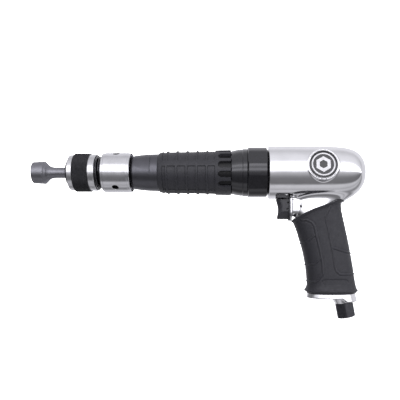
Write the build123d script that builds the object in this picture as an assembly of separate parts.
from build123d import *
import os
from math import cos, radians, sin, sqrt

# Pneumatic rivet gun with a quick-change retainer.
# Millimetres. The origin is the centre of the rivet set's working face, +X runs back
# along the barrel, +Z is up and the pistol grip hangs towards -Z.

# Driving dimensions ------------------------------------------------------------------
RUN = 0.05  # radial running clearance of a shaft in its bore

# Rivet set: a one inch flush head on a 0.498 inch shank
HEAD_R = 12.7
HEAD_LENGTH = 12.9
NECK_R = 6.05
SHANK_R = 6.32
FLANGE_R = 8.3
FLANGE_FRONT = 58.0
FLANGE_REAR = 62.9
SHANK_REAR = 101.0

# Retainer nose, the tube that the rivet set and the collar slide on
NOSE_FRONT = 38.0
NOSE_R = 12.2
NOSE_BORE_R = 8.45
NOSE_FLANGE_FRONT = 82.0
NOSE_REAR = 86.0
NOSE_FLANGE_R = 16.8
STOP_RING = (38.4, 41.3, 14.3)  # front, rear, radius

# Collar, pulled back to let the locking balls out
COLLAR_FRONT = 41.4
COLLAR_REAR = 72.6
FRONT_RING_REAR = 47.25
FRONT_RING_R = 19.8
COLLAR_TUBE_R = 18.9
BAND_REAR = 64.6
BAND_R = 21.5
REAR_RING_REAR = 71.4
REAR_RING_R = 20.55
SNAP_RING_R = 19.7
SPRING_POCKET_FRONT = 54.0
SPRING_POCKET_R = 18.25
SPRING_SEAT = (77.3, 78.5, 18.5)
COLLAR_COIL = (0.75, 17.3, 5.25)  # wire radius, coil radius, turns

# Locking balls and the cam cone that holds them in
BALL_X = 47.0
BALL_R = 2.8
BALL_CENTRE_R = 9.8
BALL_TRAVEL = 1.5
COLLAR_TRAVEL = 4.0
BALL_ANGLES = (90, 210, 330)

# Retainer nut, the bright sleeve with spanner holes
NUT_FRONT = 78.5
NUT_REAR = 110.25
NUT_R = 22.2
NUT_THREAD_R = 17.0
NUT_RECESS_R = 21.0
NUT_RECESS_FRONT = 102.0
SPANNER_X = 94.0
SPANNER_R = 3.5
SPANNER_ANGLES = (67, -53, 187)

# Barrel
BARREL_FRONT = 62.95
SPIGOT_R = 9.6
PISTON_BORE_FRONT = 100.0
PISTON_R = 9.475
BARREL_REAR = 247.0
BARREL_FLANGE = (243.0, 247.0, 20.8)
BARREL_NECK_REAR = 108.5
SHROUD_SEAT_R = 19.5
FLAT_ANGLE = 25.0
FLAT_DISTANCE = 18.9
FLAT_SPAN = (114.5, 132.8)

# Rubber sleeve on the barrel
SLEEVE_FRONT = 140.7
SLEEVE_STEP = 205.0
SLEEVE_REAR = 221.2
SLEEVE_BORE_R = 20.6
RIB_FIRST = 150.9
RIB_PITCH = 11.0
RIB_COUNT = 5
RIB_HEIGHT = 0.85
RIB_WIDTH = 2.0
SLOT_FRONT = 207.4
SLOT_WIDTH = 7.3
SLOT_PITCH = 25.7
SLOT_COUNT = 10
SLOT_FIRST_ANGLE = -35.0

# Shroud and barrel nut
SHROUD_FRONT = 204.0
SHROUD_TUBE_R = 23.2
SHROUD_SHOULDER = 222.3
HEX_FRONT = 239.7
HEX_REAR = 261.1
HEX_ACROSS_FLATS = 54.8
HEX_CORNER_R = 28.5  # the corners are turned down to this radius
HEX_CORNER_ANGLE = -1.5
HEX_FRONT_CHAMFER = (1.3, 1.1)  # length, drop
HEX_REAR_CHAMFER = 0.8
THREAD_R = 21.45

# Valve group
CASE_R = 18.5
CASE_JOINT = 251.0
CASE_REAR = 266.0
VALVE_R = 13.5
VALVE_FRONT = 251.5
VALVE_REAR = 257.0
VALVE_TRAVEL = 1.6

# Piston
PISTON_FRONT = 196.0
PISTON_REAR = 240.0

# Housing
HOUSING_FRONT = 262.8
HOUSING_R = 29.65
CAVITY_R = 18.6
REAR_CAVITY = (326.0, 11.0)  # rear, radius
BADGE_X = 320.5
BADGE_TILT = 12.0
PAD_R = 17.4
PAD_DISTANCE = 29.2
BADGE_R = 15.3

# Throttle, all on one axis parallel to the barrel
THROTTLE_Z = -38.3
TRIGGER_FRONT = 271.6
TRIGGER_REAR = 286.0
TRIGGER_TOP = -29.4
TRIGGER_BOTTOM = -52.4
TRIGGER_WIDTH = 15.0
TRIGGER_TRAVEL = 3.0
TONGUE = (274.5, 286.0, 5.5, -25.4)  # front, rear, half width, top
TRIGGER_HEAD = (271.9, 282.2, 11.0, -24.75)  # fills the housing's notch
BEZEL = (285.4, 286.9)  # front, rear
BEZEL_SIZE = (9.4, 15.9)  # half width, half height
FLANGE_PLATE = (286.9, 289.2)
FLANGE_SIZE = (10.0, 16.2)
CHAMBER_REAR = 304.0
CHAMBER_SIZE = (10.5, 11.0)
CHAMBER_CORNER_R = 6.5
NOTCH_FRONT = 271.5
NOTCH_TOP = -24.6
BUSHING_FRONT = 289.5
BUSHING_REAR = 312.0
BUSHING_R = 8.0
BUSHING_GROOVE = (307.2, 310.8)
BUSHING_GROOVE_R = 6.8
BUSHING_CAVITY = (307.0, 5.2)  # front, radius
STEM_R = 3.5
PORT_X = 309.0  # air way from the throttle up to the valve
STOP_PIN_X = 298.2
STOP_PIN_R = 1.0
STOP_PIN_HALF = 9.2
TRIGGER_PIN = (284.0, -41.4)
TRIGGER_PIN_R = 0.8
TRIGGER_HOLES_APART = 7.2
VALVE_DISC = (312.1, 315.0, 7.2)
STEM_SEAL = (305.0, 306.4)
SPRING_END = 327.0
SPRING_BORE_R = 8.6
THROTTLE_COIL = (0.5, 5.0, 5)

# Handle, as horizontal ellipses: height, front and rear of the rubber, half width
GRIP_SECTIONS = (
    (-26.0, 286.0, 347.5, 18.4),
    (-42.0, 287.4, 345.4, 18.9),
    (-57.9, 291.6, 348.0, 19.0),
    (-75.7, 297.9, 352.0, 19.2),
    (-98.2, 303.4, 356.2, 19.8),
    (-120.7, 305.9, 359.9, 20.2),
    (-128.0, 305.6, 361.4, 20.8),
    (-131.8, 304.0, 363.0, 22.0),
)
GRIP_BOTTOM = -134.7
RUBBER = 3.0
PLATE_TOP = GRIP_BOTTOM
PLATE_THIN = 5.4
PLATE_THICK = 9.2

# Air inlet, tilted with the handle
INLET_TILT = 10.5
INLET_TOP = (347.9, -145.6)
INLET_LENGTH = 16.5
INLET_ACROSS_FLATS = 19.0
INLET_TURN = 5.0  # of the hexagon, away from corner outwards
INLET_CHAMFER = 1.2
INLET_THREAD_R = 5.7
INLET_THREAD_LENGTH = 14.0
INLET_NECK = -20.0
INLET_NECK_R = 8.0
SCREW_X = 316.0
SCREW_R = 2.0
SCREW_HEAD_R = 3.5


# Shared shapes -----------------------------------------------------------------------
def turned(*outline):
    """A solid turned about the X axis from a closed outline of (x, radius) points."""
    return revolve(make_face(Polyline(*outline, close=True)), Axis.X)


def ring(front, rear, outer, inner, bevel=0.4):
    """A ring about the X axis with its two outer corners bevelled."""
    return turned(
        (front, inner),
        (front, outer - bevel),
        (front + bevel, outer),
        (rear - bevel, outer),
        (rear, outer - bevel),
        (rear, inner),
    )


def outwards(angle):
    """The unit direction away from the X axis, angle degrees up from -Y."""
    return Vector(0, -cos(radians(angle)), sin(radians(angle)))


def radial_pin(x, angle, radius, near, far):
    """A cylinder standing off the X axis at angle, from distance near to far."""
    start = Plane(origin=Vector(x, 0, 0) + outwards(angle) * near, z_dir=outwards(angle))
    return start * Cylinder(radius, far - near, align=(Align.CENTER, Align.CENTER, Align.MIN))


def along_x(front, rear, radius, y=0.0, z=0.0):
    """A cylinder parallel to the X axis."""
    start = Plane(origin=(front, y, z), z_dir=(1, 0, 0))
    return start * Cylinder(radius, rear - front, align=(Align.CENTER, Align.CENTER, Align.MIN))


def across_y(x, z, radius, half_length):
    """A cylinder parallel to the Y axis and centred on Y = 0."""
    return Plane(origin=(x, 0, z), z_dir=(0, 1, 0)) * Cylinder(radius, 2 * half_length)


def block(x0, x1, half_width, z0, z1):
    """A box between two X and two Z values, centred on Y = 0."""
    centre = ((x0 + x1) / 2, 0, (z0 + z1) / 2)
    return Pos(*centre) * Box(x1 - x0, 2 * half_width, z1 - z0)


def side_profile(outline, half_width):
    """A solid with this (x, z) outline, centred on Y = 0."""
    return extrude(Plane.XZ * make_face(outline), amount=half_width, both=True)


def hexagon_along_x(front, rear, across_flats, corner_angle):
    """A hexagonal bar about the X axis with one corner at corner_angle."""
    plane = Plane(origin=(front, 0, 0), x_dir=outwards(corner_angle), z_dir=(1, 0, 0))
    profile = RegularPolygon(across_flats / 2, 6, major_radius=False, rotation=0)
    return extrude(plane * profile, amount=rear - front)


def inlet_plane(distance):
    """A plane square to the inlet's axis, distance down it from the boss's mouth."""
    x = INLET_TOP[0] + distance * sin(radians(INLET_TILT))
    z = INLET_TOP[1] - distance * cos(radians(INLET_TILT))
    down = (sin(radians(INLET_TILT)), 0, -cos(radians(INLET_TILT)))
    return Plane(origin=(x, 0, z), x_dir=(0, 1, 0), z_dir=down)


def inlet_cylinder(start, end, radius, end_radius=None):
    """A cylinder, or a cone, on the inlet's axis."""
    height = end - start
    align = (Align.CENTER, Align.CENTER, Align.MIN)
    if end_radius is None:
        return inlet_plane(start) * Cylinder(radius, height, align=align)
    return inlet_plane(start) * Cone(radius, end_radius, height, align=align)


def handle_section(row, inset):
    """One of the handle's ellipses, shrunk by inset."""
    z, front, rear, half_width = row
    return Pos((front + rear) / 2, 0, z) * Ellipse((rear - front) / 2 - inset, half_width - inset)


def handle_loft(inset, top=GRIP_SECTIONS[0][0]):
    """The handle's outside, shrunk by inset, from top down to the grip's flat foot."""
    body = loft([handle_section(row, inset) for row in GRIP_SECTIONS])
    foot = extrude(handle_section(GRIP_SECTIONS[-1], inset), amount=GRIP_BOTTOM - GRIP_SECTIONS[-1][0])
    return (body + foot) & block(240, 400, 60, GRIP_BOTTOM, top)


# Rivet set ---------------------------------------------------------------------------
def rivet_set():
    throat = Spline((HEAD_LENGTH, 12.3), (15.3, 10.2), (17.6, 7.9), (20.4, 6.6), (24.3, NECK_R))
    outline = [
        Line((0, 0), (0, HEAD_R - 0.6)),
        Line((0, HEAD_R - 0.6), (0.6, HEAD_R)),
        Line((0.6, HEAD_R), (HEAD_LENGTH - 0.4, HEAD_R)),
        Line((HEAD_LENGTH - 0.4, HEAD_R), (HEAD_LENGTH, 12.3)),
        throat,
        Polyline(
            (24.3, NECK_R),
            (FLANGE_FRONT - 1.2, NECK_R),
            (FLANGE_FRONT, FLANGE_R - 0.6),
            (FLANGE_FRONT + 0.6, FLANGE_R),
            (FLANGE_REAR, FLANGE_R),
            (FLANGE_REAR, SHANK_R),
            (SHANK_REAR - 1, SHANK_R),
            (SHANK_REAR, SHANK_R - 1),
            (SHANK_REAR, 0),
        ),
        Line((SHANK_REAR, 0), (0, 0)),
    ]
    return revolve(make_face(outline), Axis.X)


# Retainer ----------------------------------------------------------------------------
def retainer_nose():
    body = turned(
        (NOSE_FRONT, NOSE_BORE_R + 0.6),
        (NOSE_FRONT, NOSE_R - 0.4),
        (NOSE_FRONT + 0.4, NOSE_R),
        (NOSE_FLANGE_FRONT, NOSE_R),
        (NOSE_FLANGE_FRONT, NOSE_FLANGE_R),
        (NOSE_REAR, NOSE_FLANGE_R),
        (NOSE_REAR, SPIGOT_R + RUN),
        (FLANGE_REAR + 0.05, SPIGOT_R + RUN),
        (FLANGE_REAR + 0.05, NOSE_BORE_R),
        (NOSE_FRONT + 0.6, NOSE_BORE_R),
    )
    for angle in BALL_ANGLES:
        body -= radial_pin(BALL_X, angle, BALL_R + RUN, 6, 14)
    return body


def nose_stop_ring():
    return ring(*STOP_RING, NOSE_R, 0.6)


def cam_radius(x):
    """The cam cone's radius at x: it bears on the balls and widens towards the front."""
    slope = BALL_TRAVEL / COLLAR_TRAVEL
    at_ball = BALL_CENTRE_R + (BALL_R + RUN) * sqrt(1 + slope**2)
    return at_ball - slope * (x - BALL_X)


def collar_body():
    slope = BALL_TRAVEL / COLLAR_TRAVEL
    bore = NOSE_R + RUN
    release_r = BALL_CENTRE_R + BALL_TRAVEL + BALL_R + RUN
    cone_rear = BALL_X + (cam_radius(BALL_X) - bore) / slope
    cone_front = BALL_X + (cam_radius(BALL_X) - release_r) / slope
    return turned(
        (COLLAR_FRONT, release_r),
        (COLLAR_FRONT, FRONT_RING_R - 0.3),
        (COLLAR_FRONT + 0.3, FRONT_RING_R),
        (FRONT_RING_REAR, FRONT_RING_R),
        (FRONT_RING_REAR, COLLAR_TUBE_R),
        (REAR_RING_REAR, COLLAR_TUBE_R),
        (REAR_RING_REAR, COLLAR_TUBE_R - 0.3),
        (COLLAR_REAR, COLLAR_TUBE_R - 0.3),
        (COLLAR_REAR, SPRING_POCKET_R),
        (SPRING_POCKET_FRONT, SPRING_POCKET_R),
        (SPRING_POCKET_FRONT, bore),
        (cone_rear, bore),
        (cone_front, release_r),
    )


def collar_band():
    return ring(FRONT_RING_REAR, BAND_REAR, BAND_R, COLLAR_TUBE_R, 0.5)


def collar_rear_ring():
    return ring(BAND_REAR, REAR_RING_REAR, REAR_RING_R, COLLAR_TUBE_R, 0.4)


def collar_snap_ring():
    return ring(REAR_RING_REAR, COLLAR_REAR, SNAP_RING_R, COLLAR_TUBE_R - 0.3, 0.2)


def collar_spring():
    wire, coil_r, turns = COLLAR_COIL
    start = SPRING_POCKET_FRONT + wire + 0.1
    height = SPRING_SEAT[0] - wire - 0.1 - start
    path = Helix(pitch=height / turns, height=height, radius=coil_r)
    section = Plane(origin=path @ 0, z_dir=path % 0) * Circle(wire)
    coil = sweep(section, path, is_frenet=True)
    return Plane(origin=(start, 0, 0), x_dir=(0, 0, 1), z_dir=(1, 0, 0)) * coil


def spring_seat():
    return ring(*SPRING_SEAT, NOSE_R + RUN, 0.3)


def locking_ball(angle):
    return Pos(*(Vector(BALL_X, 0, 0) + outwards(angle) * BALL_CENTRE_R)) * Sphere(BALL_R)


def retainer_nut():
    body = turned(
        (NUT_FRONT, NOSE_R + 0.1),
        (NUT_FRONT, NUT_R - 1.0),
        (NUT_FRONT + 0.5, NUT_R - 0.45),
        (NUT_FRONT + 2.6, NUT_R - 0.3),
        (NUT_FRONT + 2.9, NUT_R),
        (NUT_REAR - 2.9, NUT_R),
        (NUT_REAR - 2.6, NUT_R - 0.3),
        (NUT_REAR - 0.5, NUT_R - 0.45),
        (NUT_REAR, NUT_R - 1.0),
        (NUT_REAR, NUT_RECESS_R + 0.4),
        (NUT_REAR - 0.4, NUT_RECESS_R),
        (NUT_RECESS_FRONT, NUT_RECESS_R),
        (NUT_RECESS_FRONT, NUT_THREAD_R),
        (NOSE_FLANGE_FRONT, NUT_THREAD_R),
        (NOSE_FLANGE_FRONT, NOSE_R + 0.1),
    )
    for angle in SPANNER_ANGLES:
        body -= radial_pin(SPANNER_X, angle, SPANNER_R, NUT_THREAD_R + 0.8, NUT_R + 2)
    return body


# Barrel ------------------------------------------------------------------------------
def barrel():
    body = turned(
        (BARREL_FRONT, SHANK_R + RUN),
        (BARREL_FRONT, SPIGOT_R),
        (NOSE_REAR, SPIGOT_R),
        (NOSE_REAR, NUT_THREAD_R - RUN),
        (BARREL_NECK_REAR, NUT_THREAD_R - RUN),
        (111.0, 17.4),
        (113.0, 18.3),
        (117.0, 18.9),
        (121.0, 19.4),
        (125.5, 19.85),
        (132.3, 20.35),
        (SLEEVE_FRONT, SLEEVE_BORE_R - 0.1),
        (SHROUD_FRONT - 0.1, SLEEVE_BORE_R - 0.1),
        (SHROUD_FRONT - 0.1, SHROUD_SEAT_R),
        (BARREL_FLANGE[0], SHROUD_SEAT_R),
        (BARREL_FLANGE[0], BARREL_FLANGE[2]),
        (BARREL_FLANGE[1], BARREL_FLANGE[2]),
        (BARREL_REAR, PISTON_R + RUN),
        (PISTON_BORE_FRONT, PISTON_R + RUN),
        (PISTON_BORE_FRONT, SHANK_R + RUN),
    )
    # Wrench flat
    middle = (FLAT_SPAN[0] + FLAT_SPAN[1]) / 2
    length = FLAT_SPAN[1] - FLAT_SPAN[0]
    flat = Plane(
        origin=Vector(middle, 0, 0) + outwards(FLAT_ANGLE) * FLAT_DISTANCE,
        x_dir=(1, 0, 0),
        z_dir=outwards(FLAT_ANGLE),
    )
    return body - flat * Box(length, 40, 8, align=(Align.CENTER, Align.CENTER, Align.MIN))


def barrel_sleeve():
    body = turned(
        (SLEEVE_FRONT, SLEEVE_BORE_R),
        (SLEEVE_FRONT, 21.0),
        (141.3, 21.9),
        (143.5, 22.5),
        (148.0, 22.95),
        (152.5, 23.2),
        (163.0, 23.4),
        (180.0, 23.6),
        (SLEEVE_STEP - 2, 24.1),
        (SLEEVE_STEP, 25.1),
        (SLEEVE_REAR, 25.35),
        (SLEEVE_REAR, SHROUD_TUBE_R + 0.1),
        (SHROUD_FRONT, SHROUD_TUBE_R + 0.1),
        (SHROUD_FRONT, SLEEVE_BORE_R),
    )
    for number in range(RIB_COUNT):
        x = RIB_FIRST + number * RIB_PITCH
        base = 23.1 + 0.2 * number
        body += turned(
            (x - RIB_WIDTH / 2, base - 1),
            (x - RIB_WIDTH / 2, base + RIB_HEIGHT * 0.6),
            (x - RIB_WIDTH / 4, base + RIB_HEIGHT),
            (x + RIB_WIDTH / 4, base + RIB_HEIGHT),
            (x + RIB_WIDTH / 2, base + RIB_HEIGHT * 0.6),
            (x + RIB_WIDTH / 2, base - 1),
        )
    for number in range(SLOT_COUNT):
        angle = SLOT_FIRST_ANGLE + number * SLOT_PITCH
        body -= radial_pin(SLOT_FRONT + SLOT_WIDTH / 2, angle, SLOT_WIDTH / 2, 22, 27)
        straight = Plane(
            origin=Vector(SLOT_FRONT + SLOT_WIDTH / 2, 0, 0) + outwards(angle) * 22,
            x_dir=(1, 0, 0),
            z_dir=outwards(angle),
        )
        body -= straight * Box(20, SLOT_WIDTH, 5, align=(Align.MIN, Align.CENTER, Align.MIN))
    return body


def barrel_shroud():
    return turned(
        (SHROUD_FRONT, SHROUD_SEAT_R + 0.1),
        (SHROUD_FRONT, SHROUD_TUBE_R),
        (SHROUD_SHOULDER, SHROUD_TUBE_R),
        (SHROUD_SHOULDER, 24.4),
        (224.6, 24.8),
        (229.0, 25.7),
        (235.8, 26.7),
        (HEX_FRONT - 0.5, 26.7),
        (HEX_FRONT, 26.2),
        (HEX_FRONT, SHROUD_SEAT_R + 0.1),
    )


def barrel_nut():
    hexagon = hexagon_along_x(HEX_FRONT, HEX_REAR, HEX_ACROSS_FLATS, HEX_CORNER_ANGLE)
    hexagon &= turned(
        (HEX_FRONT, 0),
        (HEX_FRONT, HEX_CORNER_R - HEX_FRONT_CHAMFER[1]),
        (HEX_FRONT + HEX_FRONT_CHAMFER[0], HEX_CORNER_R),
        (HEX_REAR - HEX_REAR_CHAMFER, HEX_CORNER_R),
        (HEX_REAR, HEX_CORNER_R - HEX_REAR_CHAMFER),
        (HEX_REAR, 0),
    )
    bore = turned(
        (HEX_FRONT - 1, 0),
        (HEX_FRONT - 1, SHROUD_SEAT_R + 0.1),
        (BARREL_FLANGE[0], SHROUD_SEAT_R + 0.1),
        (BARREL_FLANGE[0], THREAD_R + RUN),
        (HEX_REAR + 1, THREAD_R + RUN),
        (HEX_REAR + 1, 0),
    )
    return hexagon - bore


def nut_seal():
    return ring(HEX_REAR, HOUSING_FRONT, 25.6, THREAD_R + RUN, 0.5)


# Hammer mechanism --------------------------------------------------------------------
def piston():
    body = turned(
        (PISTON_FRONT, 0),
        (PISTON_FRONT, PISTON_R - 1.2),
        (PISTON_FRONT + 1.2, PISTON_R),
        (PISTON_REAR - 0.8, PISTON_R),
        (PISTON_REAR, PISTON_R - 0.8),
        (PISTON_REAR, 4.5),
        (PISTON_REAR - 18, 4.5),
        (PISTON_REAR - 20, 0),
    )
    for x in (PISTON_FRONT + 10, PISTON_FRONT + 14):
        body -= ring(x, x + 1, PISTON_R + 1, PISTON_R - 0.5, 0.1)
    return body


def valve_case_front():
    body = ring(BARREL_REAR, CASE_JOINT, CASE_R, PISTON_R + RUN, 0.3)
    for number in range(4):
        angle = radians(45 + 90 * number)
        body -= along_x(BARREL_REAR - 1, CASE_JOINT + 1, 1.2, 11.6 * cos(angle), 11.6 * sin(angle))
    return body


def cycle_valve():
    body = ring(VALVE_FRONT, VALVE_REAR, VALVE_R, 8.6, 0.3)
    return body - ring(VALVE_FRONT + 2, VALVE_FRONT + 3.6, VALVE_R + 1, VALVE_R - 1.2, 0.1)


def valve_case_rear():
    chamber_rear = VALVE_REAR + VALVE_TRAVEL + 0.4
    body = turned(
        (CASE_JOINT, VALVE_R + RUN),
        (CASE_JOINT, CASE_R),
        (CASE_REAR, CASE_R),
        (CASE_REAR, 3.5),
        (chamber_rear, 3.5),
        (chamber_rear, VALVE_R + RUN),
    )
    for number in range(4):
        angle = radians(45 + 90 * number)
        body -= along_x(chamber_rear - 1, CASE_REAR + 1, 1.5, 9 * cos(angle), 9 * sin(angle))
    return body


def case_pin():
    return along_x(BARREL_REAR - 2.5, CASE_REAR - 2, 1.2, 0, 16)


def with_pin_hole(body):
    """The pieces that the dowel lines up, with its hole."""
    return body - along_x(BARREL_REAR - 2.6, CASE_REAR - 1.9, 1.2 + RUN, 0, 16)


# Housing -----------------------------------------------------------------------------
def saddle():
    """The handle's root, where it grows out of the housing's underside."""
    levels = (
        (323.5, -10.0, 32.5, 14.6),
        (323.7, -24.0, 32.8, 14.9),
        (321.8, -29.0, 30.8, 15.2),
        (318.7, -34.0, 27.8, 15.6),
        (317.2, -44.0, 26.2, 16.1),
    )
    return loft([Pos(x, 0, z) * Ellipse(length, width) for x, z, length, width in levels])


def throttle_chamber():
    """The block behind the flange plate, with round corners."""
    plane = Plane(origin=(FLANGE_PLATE[1], 0, THROTTLE_Z), x_dir=(0, 1, 0), z_dir=(1, 0, 0))
    section = RectangleRounded(2 * CHAMBER_SIZE[0], 2 * CHAMBER_SIZE[1], CHAMBER_CORNER_R)
    return extrude(plane * section, amount=CHAMBER_REAR - FLANGE_PLATE[1])


def throttle_oblong(front, rear, size, clearance=0.0):
    """An upright oblong with round ends about the throttle's axis."""
    half_width = size[0] + clearance
    end = size[1] - size[0]
    body = block(front, rear, half_width, THROTTLE_Z - end, THROTTLE_Z + end)
    for z in (THROTTLE_Z - end, THROTTLE_Z + end):
        body += along_x(front, rear, half_width, 0, z)
    return body


def housing():
    # The upper body is turned about the barrel's axis, with a domed rear
    dome = Spline(
        (333.7, 29.0),
        (347, 28.3),
        (355.5, 27.0),
        (361, 24.9),
        (366, 20.2),
        (369.8, 12.5),
        (371.8, 0),
        tangents=((1, -0.04), (0, -1)),
    )
    outline = [
        Polyline(
            (371.8, 0),
            (BARREL_REAR, 0),
            (BARREL_REAR, THREAD_R),
            (HOUSING_FRONT, THREAD_R),
            (HOUSING_FRONT, HOUSING_R - 0.8),
            (HOUSING_FRONT + 0.8, HOUSING_R),
            (300, HOUSING_R),
            (333.7, 29.0),
        ),
        dome,
    ]
    body = revolve(make_face(outline), Axis.X)
    # The handle grows out of the underside and carries the grip
    body += saddle() + handle_loft(RUBBER + 0.1, -30)
    # Throttle chamber, and the round pad for the badge
    body += throttle_chamber()
    body += radial_pin(BADGE_X, BADGE_TILT, PAD_R, 12, PAD_DISTANCE)
    body -= radial_pin(BADGE_X, BADGE_TILT, BADGE_R + 0.9, PAD_DISTANCE - 1.2, PAD_DISTANCE + 8)
    # Valve chamber
    body -= along_x(BARREL_REAR - 1, CASE_REAR, CAVITY_R)
    body -= along_x(CASE_REAR - 1, *REAR_CAVITY)
    # Notch over the trigger, and the seat of the flange plate
    body -= block(NOTCH_FRONT, FLANGE_PLATE[1] - 1, 22.0, -62.0, NOTCH_TOP)
    body -= throttle_oblong(BEZEL[0] - 0.2, FLANGE_PLATE[1], FLANGE_SIZE, 0.1)
    # Throttle bores and air passages
    body -= along_x(BUSHING_FRONT - 1, BUSHING_REAR, BUSHING_R + RUN, 0, THROTTLE_Z)
    body -= along_x(BUSHING_REAR - 0.5, SPRING_END, SPRING_BORE_R, 0, THROTTLE_Z)
    upwards = (Align.CENTER, Align.CENTER, Align.MIN)
    body -= Pos(PORT_X, 0, THROTTLE_Z) * Cylinder(2.0, 34.0, align=upwards)
    body -= inlet_cylinder(-100, -5, 6.5)
    body -= inlet_cylinder(INLET_NECK - 2.1, 0, INLET_NECK_R + RUN)
    body -= across_y(STOP_PIN_X, THROTTLE_Z, STOP_PIN_R + 0.02, 16.0)
    return body - Pos(SCREW_X, 0, GRIP_BOTTOM + 3) * Cylinder(SCREW_R, 20)


def badge_ring():
    body = radial_pin(BADGE_X, BADGE_TILT, BADGE_R + 0.85, PAD_DISTANCE - 1.2, PAD_DISTANCE + 0.3)
    return body - radial_pin(BADGE_X, BADGE_TILT, BADGE_R, PAD_DISTANCE - 2, PAD_DISTANCE + 2)


def badge_disc():
    return radial_pin(BADGE_X, BADGE_TILT, BADGE_R - 0.02, PAD_DISTANCE - 1.2, PAD_DISTANCE)


# Throttle ----------------------------------------------------------------------------
def trigger_prism(front, rear, clearance):
    """The trigger's cross-section, square on top and round below, run along X."""
    half = TRIGGER_WIDTH / 2 + clearance
    round_z = TRIGGER_BOTTOM + TRIGGER_WIDTH / 2
    upright = block(front, rear, half, round_z, TRIGGER_TOP + clearance)
    return upright + along_x(front, rear, half, 0, round_z)


def trigger():
    finger = [
        ThreePointArc((TRIGGER_FRONT + 0.2, -31.0), (TRIGGER_FRONT + 2.3, -41.5), (273.0, -50.0)),
        Polyline((273.0, -50.0), (274.2, TRIGGER_BOTTOM), (TRIGGER_REAR, TRIGGER_BOTTOM)),
        Polyline((TRIGGER_REAR, TRIGGER_BOTTOM), (TRIGGER_REAR, TRIGGER_TOP), (272.6, TRIGGER_TOP)),
        Line((272.6, TRIGGER_TOP), (TRIGGER_FRONT + 0.2, -31.0)),
    ]
    body = side_profile(finger, TRIGGER_WIDTH) & trigger_prism(TRIGGER_FRONT - 1, TRIGGER_REAR, 0)
    body += block(TONGUE[0], TONGUE[1], TONGUE[2], TRIGGER_TOP - 1, TONGUE[3])
    body += block(TRIGGER_HEAD[0], TRIGGER_HEAD[1], TRIGGER_HEAD[2], TRIGGER_TOP, TRIGGER_HEAD[3])
    body -= along_x(TRIGGER_REAR - 7, TRIGGER_REAR + 1, STEM_R + 0.02, 0, THROTTLE_Z)
    body -= across_y(*TRIGGER_PIN, TRIGGER_PIN_R + 0.02, TRIGGER_WIDTH)
    upper_hole = TRIGGER_PIN[1] + TRIGGER_HOLES_APART
    return body - across_y(TRIGGER_PIN[0], upper_hole, TRIGGER_PIN_R, TRIGGER_WIDTH)


def trigger_pin():
    return across_y(*TRIGGER_PIN, TRIGGER_PIN_R, TRIGGER_WIDTH / 2 - 0.8)


def throttle_stem():
    body = along_x(TRIGGER_REAR - 7, VALVE_DISC[1] - 0.6, STEM_R, 0, THROTTLE_Z)
    slot_front = STOP_PIN_X - TRIGGER_TRAVEL - STOP_PIN_R - 0.1
    slot_rear = STOP_PIN_X + STOP_PIN_R + 0.1
    slot_half = STOP_PIN_R + 0.1
    body -= block(slot_front, slot_rear, STEM_R + 1, THROTTLE_Z - slot_half, THROTTLE_Z + slot_half)
    return body - across_y(*TRIGGER_PIN, TRIGGER_PIN_R + 0.02, TRIGGER_WIDTH)


def throttle_valve():
    body = along_x(VALVE_DISC[0], VALVE_DISC[1], VALVE_DISC[2], 0, THROTTLE_Z)
    return body - along_x(VALVE_DISC[0] - 1, VALVE_DISC[1] - 0.6, STEM_R + 0.01, 0, THROTTLE_Z)


def throttle_spring():
    wire, coil_r, turns = THROTTLE_COIL
    height = SPRING_END - VALVE_DISC[1] - 2 * wire - 0.2
    path = Helix(pitch=height / turns, height=height, radius=coil_r)
    coil = sweep(Plane(origin=path @ 0, z_dir=path % 0) * Circle(wire), path, is_frenet=True)
    start = (VALVE_DISC[1] + wire + 0.1, 0, THROTTLE_Z)
    return Plane(origin=start, x_dir=(0, 1, 0), z_dir=(1, 0, 0)) * coil


def trigger_opening(plate):
    """The hole that the trigger and its tongue pass through."""
    body = trigger_prism(plate[0] - 1, plate[1] + 1, 0.3)
    return body + block(plate[0] - 1, plate[1] + 1, TONGUE[2] + 0.3, TRIGGER_TOP - 1, TONGUE[3] + 0.3)


def trigger_bezel():
    return throttle_oblong(*BEZEL, BEZEL_SIZE) - trigger_opening(BEZEL)


def throttle_flange():
    return throttle_oblong(*FLANGE_PLATE, FLANGE_SIZE) - trigger_opening(FLANGE_PLATE)


def throttle_bushing():
    body = along_x(BUSHING_FRONT, BUSHING_REAR, BUSHING_R, 0, THROTTLE_Z)
    groove = along_x(*BUSHING_GROOVE, BUSHING_R + 1, 0, THROTTLE_Z)
    body -= groove - along_x(*BUSHING_GROOVE, BUSHING_GROOVE_R, 0, THROTTLE_Z)
    body -= along_x(BUSHING_FRONT - 1, BUSHING_REAR, STEM_R + RUN, 0, THROTTLE_Z)
    body -= along_x(STEM_SEAL[0], STEM_SEAL[1], STEM_R + 1.5, 0, THROTTLE_Z)
    body -= along_x(BUSHING_CAVITY[0], BUSHING_REAR + 1, BUSHING_CAVITY[1], 0, THROTTLE_Z)
    body -= Pos(PORT_X, 0, THROTTLE_Z) * Cylinder(1.5, 20)
    return body - across_y(STOP_PIN_X, THROTTLE_Z, STOP_PIN_R + 0.02, 16.0)


def stem_seal():
    body = along_x(STEM_SEAL[0] + 0.05, STEM_SEAL[1] - 0.05, STEM_R + 1.45, 0, THROTTLE_Z)
    return body - along_x(STEM_SEAL[0] - 1, STEM_SEAL[1] + 1, STEM_R + 0.03, 0, THROTTLE_Z)


def stop_pin():
    return across_y(STOP_PIN_X, THROTTLE_Z, STOP_PIN_R, STOP_PIN_HALF)


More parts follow.
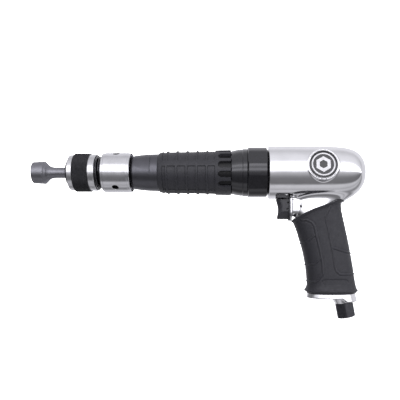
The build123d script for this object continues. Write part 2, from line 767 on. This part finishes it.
# Grip and air inlet ------------------------------------------------------------------
def grip():
    top_edge = ((284, -56.5), (291.3, -52.4), (299.4, -46.9), (310.3, -41.5), (325, -36.4), (352, -27.4))
    lip = [
        Spline(*top_edge),
        Polyline((352, -27.4), (352, -10), (270, -10), (270, -56.5), (284, -56.5)),
    ]
    body = handle_loft(0) - handle_loft(RUBBER) - side_profile(lip, 60)
    body -= throttle_oblong(BEZEL[0], FLANGE_PLATE[1], FLANGE_SIZE, 0.1)
    return body - saddle() - throttle_chamber()


def base_plate():
    plan = Pos(333.6, 0, PLATE_TOP - 12) * Ellipse(28.0, 19.6)
    low = PLATE_TOP - PLATE_THIN
    heel = PLATE_TOP - PLATE_THICK
    outline = [
        Polyline((300, PLATE_TOP), (370, PLATE_TOP), (370, heel), (349.5, heel)),
        Spline((349.5, heel), (346.0, heel + 1.6), (343.5, low), tangents=((-1, 0), (-1, 0))),
        Polyline((343.5, low), (300, low), (300, PLATE_TOP)),
    ]
    body = extrude(plan, amount=14) & side_profile(outline, 40)
    body += inlet_cylinder(-7, 0, 12.4, 9.8) & block(300, 370, 40, -160, PLATE_TOP)
    body -= inlet_cylinder(-20, 1, INLET_NECK_R + RUN)
    body -= inlet_cylinder(0, 6, 14.0)
    body -= Pos(SCREW_X, 0, PLATE_TOP) * Cylinder(SCREW_R + RUN, 20)
    return body - Pos(SCREW_X, 0, low + 1.25) * Cylinder(SCREW_HEAD_R + 0.1, 2.6)


def plate_screw():
    low = PLATE_TOP - PLATE_THIN
    upwards = (Align.CENTER, Align.CENTER, Align.MIN)
    body = Pos(SCREW_X, 0, low + 0.1) * Cylinder(SCREW_HEAD_R, 2.4, align=upwards)
    body += Pos(SCREW_X, 0, low + 2.5) * Cylinder(SCREW_R, 8, align=upwards)
    socket = Pos(SCREW_X, 0, low) * RegularPolygon(1.5, 6)
    return body - extrude(socket, amount=1.6)


def inlet_bushing():
    half = INLET_ACROSS_FLATS / 2
    hexagon = RegularPolygon(half, 6, major_radius=False, rotation=INLET_TURN)
    corner_r = half / cos(radians(30))
    chamfer_top = INLET_LENGTH - INLET_CHAMFER
    envelope = inlet_cylinder(-1, chamfer_top, corner_r)
    envelope += inlet_cylinder(chamfer_top, INLET_LENGTH, corner_r, corner_r - INLET_CHAMFER)
    body = extrude(inlet_plane(0) * hexagon, INLET_LENGTH) & envelope
    body += inlet_cylinder(INLET_NECK, 0, INLET_NECK_R)
    body -= inlet_cylinder(INLET_LENGTH - INLET_THREAD_LENGTH, INLET_LENGTH + 1, INLET_THREAD_R)
    return body - inlet_cylinder(INLET_NECK - 1, INLET_LENGTH, 4.0)


def inlet_screen():
    body = inlet_cylinder(INLET_NECK + 1, -2, 3.95)
    return body - inlet_cylinder(INLET_NECK + 1.6, -1, 3.4)


def inlet_seal():
    return inlet_cylinder(INLET_NECK - 1.9, INLET_NECK - 0.1, INLET_NECK_R) - inlet_cylinder(
        INLET_NECK - 3, INLET_NECK + 1, 6.6
    )


# Shapes and files --------------------------------------------------------------------
NODES = {
    "rivet_set": rivet_set(),
    "retainer_nose": retainer_nose(),
    "nose_stop_ring": nose_stop_ring(),
    "collar_body": collar_body(),
    "collar_band": collar_band(),
    "collar_rear_ring": collar_rear_ring(),
    "collar_snap_ring": collar_snap_ring(),
    "collar_spring": collar_spring(),
    "spring_seat": spring_seat(),
    "retainer_nut": retainer_nut(),
    "barrel": with_pin_hole(barrel()),
    "barrel_sleeve": barrel_sleeve(),
    "barrel_shroud": barrel_shroud(),
    "barrel_nut": barrel_nut(),
    "nut_seal": nut_seal(),
    "piston": piston(),
    "valve_case_front": with_pin_hole(valve_case_front()),
    "cycle_valve": cycle_valve(),
    "valve_case_rear": with_pin_hole(valve_case_rear()),
    "case_pin": case_pin(),
    "housing": housing(),
    "badge_ring": badge_ring(),
    "badge_disc": badge_disc(),
    "trigger": trigger(),
    "trigger_pin": trigger_pin(),
    "throttle_stem": throttle_stem(),
    "throttle_valve": throttle_valve(),
    "throttle_spring": throttle_spring(),
    "trigger_bezel": trigger_bezel(),
    "throttle_flange": throttle_flange(),
    "throttle_bushing": throttle_bushing(),
    "stem_seal": stem_seal(),
    "stop_pin": stop_pin(),
    "grip": grip(),
    "base_plate": base_plate(),
    "plate_screw": plate_screw(),
    "inlet_bushing": inlet_bushing(),
    "inlet_screen": inlet_screen(),
    "inlet_seal": inlet_seal(),
}
for number, angle in enumerate(BALL_ANGLES, 1):
    NODES[f"locking_ball_{number}"] = locking_ball(angle)

os.makedirs("parts", exist_ok=True)
for name, shape in NODES.items():
    export_step(shape, f"parts/{name}.step")
